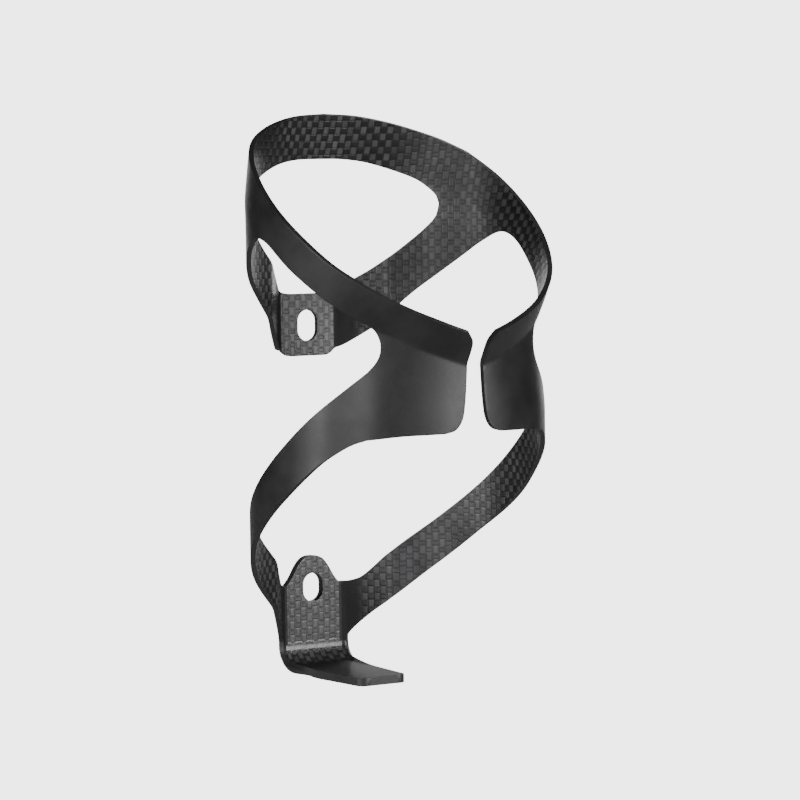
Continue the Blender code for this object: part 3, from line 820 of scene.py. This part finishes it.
# ---- materials ----
class Nodes:
    """Short way to build a material on the weave coordinates."""

    def __init__(self, name):
        self.material = bpy.data.materials.new(name)
        self.material.use_nodes = True
        self.tree = self.material.node_tree
        self.shader = self.tree.nodes["Principled BSDF"]
        self.uv = self.new("ShaderNodeUVMap", uv_map="weave").outputs["UV"]

    def new(self, kind, **settings):
        node = self.tree.nodes.new(kind)
        for key, value in settings.items():
            setattr(node, key, value)
        return node

    def link(self, source, target):
        self.tree.links.new(source, target)

    def feed(self, socket, value):
        if hasattr(value, "links"):
            self.link(value, socket)
        else:
            socket.default_value = value

    def math(self, operation, a, b=0.0):
        node = self.new("ShaderNodeMath", operation=operation)
        self.feed(node.inputs[0], a)
        self.feed(node.inputs[1], b)
        return node.outputs[0]

    def add(self, a, b):
        return self.math("ADD", a, b)

    def subtract(self, a, b):
        return self.math("SUBTRACT", a, b)

    def times(self, a, b):
        return self.math("MULTIPLY", a, b)

    def larger(self, a, b):
        return self.math("MAXIMUM", a, b)

    def mix(self, share, a, b):
        """a where share is 0, b where it is 1."""
        return self.add(a, self.times(share, self.subtract(b, a)))

    def ramp(self, value, low, high, start, end):
        node = self.new("ShaderNodeMapRange", clamp=True, interpolation_type="SMOOTHSTEP")
        self.feed(node.inputs["Value"], value)
        node.inputs["From Min"].default_value = low
        node.inputs["From Max"].default_value = high
        node.inputs["To Min"].default_value = start
        node.inputs["To Max"].default_value = end
        return node.outputs["Result"]

    def spread(self, noise, ends):
        """Soft noise stretched from the first end to the second."""
        return self.ramp(noise, 0.3, 0.7, ends[0], ends[1])

    def rise(self, value, ends):
        """0 up to the first end, 1 from the second."""
        return self.ramp(value, ends[0], ends[1], 0.0, 1.0)

    def fade(self, value, ends):
        """1 up to the first end, 0 from the second."""
        return self.ramp(value, ends[0], ends[1], 1.0, 0.0)

    def noise(self, vector, scale, detail=2.0):
        node = self.new("ShaderNodeTexNoise")
        self.feed(node.inputs["Vector"], vector)
        node.inputs["Scale"].default_value = scale
        node.inputs["Detail"].default_value = detail
        return node.outputs["Fac"]

    def grey(self, value, tint):
        """Grey whose blue is scaled by the tint."""
        node = self.new("ShaderNodeCombineColor")
        self.feed(node.inputs[0], value)
        self.feed(node.inputs[1], value)
        self.feed(node.inputs[2], self.times(value, tint))
        return node.outputs[0]

    def vector(self, x, y):
        node = self.new("ShaderNodeCombineXYZ")
        self.feed(node.inputs[0], x)
        self.feed(node.inputs[1], y)
        return node.outputs[0]

    def bump(self, height, distance, strength):
        node = self.new("ShaderNodeBump")
        node.inputs["Distance"].default_value = distance
        node.inputs["Strength"].default_value = strength
        self.feed(node.inputs["Height"], height)
        self.link(node.outputs["Normal"], self.shader.inputs["Normal"])


# ---- the cloth: millimetres on the flat pattern ----
WEAVE_PITCH = 1.63            # one crossing of the weave
WEAVE_WANDER = 0.25           # pitches that the tows stray from straight
UPRIGHT_FLOAT = 1.05          # pitches an upright tow shows before it dives, out of two
LIT_FLOAT = 1.35             # the same on the plates and on the joint painted as lit
PLATE_SWATCH = 200 * WEAVE_PITCH  # height shift that tells the plates' cloth from the ribbons'
BAND_HEIGHTS = (96.0, 102.0)  # strut below, band above
JOINT_START = (8.0, 22.0)     # painted light: the joint of right strut and band is painted paler, across the pattern
JOINT_END = (40.0, 50.0)
JOINT_BAND_SHIFT = 7.0        # the joint begins this much farther out on the band
LEFT_END = (-17.0, -10.0)     # painted shade: the left part of the band has its upright tows painted darker
BOSS_REACH = (8.0, 12.0)      # boss walls beside the plates, plain and painted dark: painted shade on the slanted walls
BOSS_TOP = (84.0, 92.0)
FOLD = (-6.5, -3.5)           # painted shade: the plate's cloth is painted darker round the fold
CREASE_BOTTOM = (-6.5, -5.5)  # resin-rich crease, smooth and glossy
CREASE_TOP = (-3.5, -2.5)
TONGUE = (-12.5, -8.5)        # the tongue's face is moulded smooth
CREASE_FILL = 0.85            # how far the crease hides the weave's relief
LIT_FILL = 0.45              # and the cloth painted as lit, where the dark seams fade for painted light
FOLD_LIGHT = 0.3               # how much of the plates' painted light the cloth keeps round the fold; the rest is painted shade
LEFT_END_SHADE = 0.9
MUTED_CONTRAST = 0.25          # how much lighter upright tows are left where the cloth is painted as lit, and on the band's left end painted in shade

TOW_END = (0.28, 0.5)         # from a float's middle, in floats: where it dives
TOW_SIDE = (0.3, 0.5)         # from a tow's middle, in pitches: where its side falls
SIDE_HEIGHT = 0.55

# ---- sizes of the cloth's noise, features per millimetre ----
WANDER_SCALE, CONTRAST_SCALE, PATCH_SCALE = 0.12, 0.09, 0.11
CLOUD_SCALE, GRAIN_SCALE = 0.13, 3.0
ACROSS_TOW, ALONG_TOW = 9.0, 0.6  # strands

# ---- base colours ----
# the second tow colour of each pair is painted light: paler tows on the right joint of strut and band and on
# the plates
LEVEL_TOW, LIT_LEVEL_TOW = 0.016, 0.066
UPRIGHT_TOW, LIT_UPRIGHT_TOW = 0.095, 0.135
# BOSS_SHADE is painted shade on the slanted boss walls
TOW_SEAM, TONGUE_SHADE, BOSS_SHADE = 0.014, 0.022, 0.012
SATIN_SHADES = (0.017, 0.026)
RIM_HIGHLIGHT = 0.012           # painted highlight: how much lighter the satin's rims are painted
TOW_SPREAD = (0.82, 1.18)     # lightness from one float to the next
STRAND_SPREAD = (0.86, 1.14)  # between strands of one float
PATCH_SPREAD = (0.8, 1.2)     # over centimetres
CONTRAST_SPREAD = (0.7, 1.0)
WEAVE_TINT, SATIN_TINT = 1.04, 1.03  # blue against red and green

# ---- roughness and relief ----
LEVEL_ROUGHNESS, UPRIGHT_ROUGHNESS, STRAND_ROUGHNESS = 0.36, 0.31, 0.06
TONGUE_ROUGHNESS, BOSS_ROUGHNESS, CREASE_ROUGHNESS = 0.46, 0.6, 0.2
SATIN_ROUGHNESS = (0.34, 0.42)
GRAIN_ROUGHNESS = 0.05
WEAVE_RELIEF = 0.12 * MM
STRAND_RELIEF = 0.12  # share of a tow's own height
GRAIN_RELIEF = 0.02 * MM


def cloth_zones(n, across, height):
    """Masks over the pattern, 0 to 1, where the cloth differs from the plain dark weave; painted light and
    painted shade among them.
    """
    plates = n.rise(height, (PLATE_SWATCH / 2 - 1, PLATE_SWATCH / 2 + 1))
    on_plate = n.subtract(height, PLATE_SWATCH)
    band = n.rise(height, BAND_HEIGHTS)
    joint = n.rise(n.subtract(across, n.times(band, JOINT_BAND_SHIFT)), JOINT_START)
    joint = n.times(joint, n.fade(across, JOINT_END))
    boss = n.times(n.fade(n.math("ABSOLUTE", across), BOSS_REACH), n.fade(height, BOSS_TOP))
    crease = n.times(n.rise(on_plate, CREASE_BOTTOM), n.fade(on_plate, CREASE_TOP))
    # painted shade: round the fold and below it the plates' cloth loses most of its painted light
    fold = n.times(plates, n.fade(on_plate, FOLD))
    return {"pale": n.larger(joint, plates),
            # painted light: paler cloth on the right joint of strut and band and on the plates
            "painted_light": n.larger(joint, n.times(plates, n.mix(fold, 1.0, FOLD_LIGHT))),
            # painted shade on the band's left end
            "shaded_left_end": n.times(n.fade(across, LEFT_END), band),
            # painted shade: the boss walls are painted plain and dark
            "boss": n.times(boss, n.subtract(1.0, plates)),
            "tongue": n.times(plates, n.fade(on_plate, TONGUE)),
            "crease": n.times(crease, plates)}


def weave_cells(n, across, height, pale):
    """Plain weave: whether the upright tow is on top, its rounded face, and a random number per float."""
    wander = n.times(n.noise(n.uv, WANDER_SCALE, 1.0), WEAVE_WANDER)
    u = n.add(n.math("DIVIDE", across, WEAVE_PITCH), wander)
    v = n.add(n.math("DIVIDE", height, WEAVE_PITCH), wander)
    column = n.math("FLOOR", u)
    climb = n.add(v, column)
    step = n.math("FLOORED_MODULO", climb, 2.0)
    longest = n.mix(pale, UPRIGHT_FLOAT, LIT_FLOAT)
    upright = n.math("LESS_THAN", step, longest)
    length = n.mix(upright, n.subtract(2.0, longest), longest)
    middle = n.times(n.mix(upright, n.add(2.0, longest), longest), 0.5)
    row = n.subtract(n.subtract(climb, step), upright)
    from_column = n.math("ABSOLUTE", n.subtract(n.subtract(u, column), 0.5))
    from_row = n.math("ABSOLUTE", n.math("DIVIDE", n.subtract(step, middle), length))
    off_middle = n.mix(upright, from_row, from_column)
    off_centre = n.mix(upright, from_column, from_row)
    dome = n.times(n.fade(off_middle, TOW_END), n.ramp(off_centre, *TOW_SIDE, 1.0, SIDE_HEIGHT))
    chance = n.new("ShaderNodeTexWhiteNoise", noise_dimensions="2D")
    n.link(n.vector(column, row), chance.inputs["Vector"])
    return upright, dome, chance.outputs["Value"]


def woven_carbon():
    """Plain weave of flat tows: upright tows catch the light, level tows stay darker."""
    n = Nodes("woven_carbon")
    parts = n.new("ShaderNodeSeparateXYZ")
    n.link(n.uv, parts.inputs[0])
    across = parts.outputs["X"]
    height = parts.outputs["Y"]
    zones = cloth_zones(n, across, height)
    painted_light, boss, tongue, crease = (zones[word] for word in ("painted_light", "boss", "tongue", "crease"))
    smooth = n.larger(boss, tongue)
    upright, dome, chance = weave_cells(n, across, height, zones["pale"])
    dome = n.larger(dome, n.larger(smooth, n.times(crease, CREASE_FILL)))
    dome = n.larger(dome, n.times(painted_light, LIT_FILL))

    beside_tow = n.mix(upright, height, across)
    along_tow = n.mix(upright, across, height)
    strand = n.noise(n.vector(n.times(beside_tow, ACROSS_TOW), n.times(along_tow, ALONG_TOW)), 1.0, 2.0)
    # upright tows lose their lightness where light is painted on, and on the band's left end, painted in
    # shade
    contrast = n.mix(n.larger(painted_light, n.times(zones["shaded_left_end"], LEFT_END_SHADE)), 1.0, MUTED_CONTRAST)
    contrast = n.times(contrast, n.ramp(n.noise(n.uv, CONTRAST_SCALE, 1.0), 0.35, 0.65, *CONTRAST_SPREAD))
    # painted light: level and upright tows are painted paler on the right joint and the plates
    level = n.mix(painted_light, LEVEL_TOW, LIT_LEVEL_TOW)
    tow = n.mix(n.times(upright, contrast), level, n.mix(painted_light, UPRIGHT_TOW, LIT_UPRIGHT_TOW))
    tow = n.times(tow, n.ramp(chance, 0.0, 1.0, *TOW_SPREAD))
    tow = n.times(tow, n.spread(strand, STRAND_SPREAD))
    tow = n.times(tow, n.spread(n.noise(n.uv, PATCH_SCALE, 2.0), PATCH_SPREAD))
    # the boss walls' plain dark colour is painted shade
    shade = n.mix(smooth, n.mix(dome, TOW_SEAM, tow), n.mix(boss, TONGUE_SHADE, BOSS_SHADE))
    n.link(n.grey(shade, WEAVE_TINT), n.shader.inputs["Base Color"])

    rough = n.add(n.mix(upright, LEVEL_ROUGHNESS, UPRIGHT_ROUGHNESS), n.times(strand, STRAND_ROUGHNESS))
    rough = n.mix(boss, n.mix(tongue, rough, TONGUE_ROUGHNESS), BOSS_ROUGHNESS)
    rough = n.mix(crease, rough, CREASE_ROUGHNESS)
    n.link(rough, n.shader.inputs["Roughness"])
    n.bump(n.add(dome, n.times(strand, STRAND_RELIEF)), WEAVE_RELIEF, 0.6)
    return n.material


def satin_carbon():
    """Smooth moulded face: satin black with faint cloudiness and a slightly lighter rim, a painted
    highlight.
    """
    n = Nodes("satin_carbon")
    clouds = n.noise(n.uv, CLOUD_SCALE, 3.0)
    grain = n.noise(n.uv, GRAIN_SCALE, 3.0)
    # painted highlight: the rims are painted lighter
    rim_highlight_mask = n.rise(n.new("ShaderNodeAttribute", attribute_name="rim").outputs["Fac"], (0.3, 1.0))
    shade = n.add(n.spread(clouds, SATIN_SHADES), n.times(rim_highlight_mask, RIM_HIGHLIGHT))
    n.link(n.grey(shade, SATIN_TINT), n.shader.inputs["Base Color"])
    rough = n.add(n.spread(clouds, SATIN_ROUGHNESS), n.times(grain, GRAIN_ROUGHNESS))
    n.link(rough, n.shader.inputs["Roughness"])
    n.bump(grain, GRAIN_RELIEF, 0.4)
    return n.material


def place_pieces(pieces):
    for name, piece in pieces.items():
        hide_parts(name)
        word = name.split("_")[0]
        if name.endswith(("side_arm", "lower_arm")):
            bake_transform(piece)
        elif name.endswith("grip_wing"):
            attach(piece, word + "_arm")
        else:
            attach(piece, "cage_base")


# ---- surroundings ----
STUDIO_CENTRE = Vector((0.0, -AXIS_SETBACK, 60 * MM))
FLOOR_DROP = 50 * MM  # floor below the lowest point
FLOOR_WIDTH = 8
FLOOR_GREY = 0.6
PALE = 4.0            # brightness of the white studio behind the object
FILL = 0.02           # light that reaches the object from all around


def pale_to_camera(tree, others, out_socket):
    """White studio: seen as a plain pale field, while the light it gives stays soft and low."""
    seen = tree.nodes.new("ShaderNodeLightPath")
    bright = tree.nodes.new("ShaderNodeEmission" if others.type != "BACKGROUND" else "ShaderNodeBackground")
    bright.inputs["Color"].default_value = (1.0, 1.0, 1.0, 1.0)
    bright.inputs["Strength"].default_value = PALE
    mix = tree.nodes.new("ShaderNodeMixShader")
    tree.links.new(seen.outputs["Is Camera Ray"], mix.inputs[0])
    tree.links.new(others.outputs[0], mix.inputs[1])
    tree.links.new(bright.outputs[0], mix.inputs[2])
    tree.links.new(mix.outputs[0], out_socket)


def make_floor(low_z):
    material = bpy.data.materials.new("pale_floor")
    material.use_nodes = True
    tree = material.node_tree
    shader = tree.nodes["Principled BSDF"]
    shader.inputs["Base Color"].default_value = (FLOOR_GREY, FLOOR_GREY, FLOOR_GREY, 1.0)
    shader.inputs["Roughness"].default_value = 0.9
    pale_to_camera(tree, shader, tree.nodes["Material Output"].inputs["Surface"])
    bpy.ops.mesh.primitive_plane_add(size=FLOOR_WIDTH, location=(0, 0, low_z - FLOOR_DROP))
    floor = bpy.context.object
    floor.name = "floor"
    floor.data.materials.append(material)


def direction(azimuth, elevation):
    """Unit vector from the object; azimuth 0 is the front, positive to the right."""
    a = math.radians(azimuth)
    e = math.radians(elevation)
    return Vector((math.sin(a) * math.cos(e), -math.cos(a) * math.cos(e), math.sin(e)))


SOFTBOX_DISTANCE = 1.0
BOX = (0.42, 0.36)  # width, height
STRIP = (0.3, 0.05)
SOFTBOXES = [       # name, azimuth, elevation, watts, size
    ("left_box", -100, 5, 4.4, BOX),
    ("left_front_box", -60, 5, 2.9, BOX),
    ("front_box", 0, 5, 1.2, BOX),
    ("front_right_box", 25, 5, 5.0, BOX),
    ("front_low_box", 25, -15, 1.9, BOX),
    ("front_high_strip", 34, 13, 0.4, STRIP),
    ("back_right_high_box", 130, 25, 1.2, BOX),
    ("back_right_box", 130, 5, 1.0, BOX),
    ("back_box", 160, 5, 0.9, BOX),
]


def make_lights():
    """Rectangular soft lights that face the object."""
    for name, azimuth, elevation, watts, size in SOFTBOXES:
        data = bpy.data.lights.new(name, "AREA")
        data.energy = watts
        data.shape = "RECTANGLE"
        data.size, data.size_y = size
        light = bpy.data.objects.new(name, data)
        bpy.context.scene.collection.objects.link(light)
        toward = direction(azimuth, elevation)
        light.location = STUDIO_CENTRE + toward * SOFTBOX_DISTANCE
        light.rotation_euler = toward.to_track_quat("Z", "Y").to_euler()
        light.visible_camera = False


def make_world():
    world = bpy.data.worlds.new("studio")
    bpy.context.scene.world = world
    world.use_nodes = True
    tree = world.node_tree
    background = tree.nodes["Background"]
    background.inputs["Color"].default_value = (1.0, 1.0, 1.0, 1.0)
    background.inputs["Strength"].default_value = FILL
    pale_to_camera(tree, background, tree.nodes["World Output"].inputs["Surface"])


CAMERA_AZIMUTH = -32.17
CAMERA_ELEVATION = 3.99
CAMERA_DISTANCE = 850 * MM
CAMERA_LENS = 163.2
CAMERA_SHIFT = 0.0056
CAMERA_ROLL = math.radians(-0.76)
CAMERA_TARGET = Vector((0.0, -AXIS_SETBACK, 57.85 * MM))


def make_camera():
    data = bpy.data.cameras.new("camera")
    data.sensor_width = 36
    data.lens = CAMERA_LENS
    data.shift_x = CAMERA_SHIFT
    data.clip_start = 0.01
    data.clip_end = 20
    camera = bpy.data.objects.new("camera", data)
    bpy.context.scene.collection.objects.link(camera)
    back = direction(CAMERA_AZIMUTH, CAMERA_ELEVATION)
    right = Vector((0, 0, 1)).cross(back).normalized()
    up = back.cross(right)
    turned_right = right * math.cos(CAMERA_ROLL) + up * math.sin(CAMERA_ROLL)
    turned_up = up * math.cos(CAMERA_ROLL) - right * math.sin(CAMERA_ROLL)
    axes = Matrix((turned_right, turned_up, back)).transposed().to_4x4()
    camera.matrix_world = Matrix.Translation(CAMERA_TARGET + back * CAMERA_DISTANCE) @ axes
    bpy.context.scene.camera = camera


def main():
    shell = thickened_shell(middle_surface())
    pieces = cut_pieces(shell, woven_carbon(), satin_carbon())
    bpy.data.meshes.remove(shell)
    place_pieces(pieces)
    make_floor(size_at_load[0][2])
    make_world()
    make_lights()
    make_camera()


main()
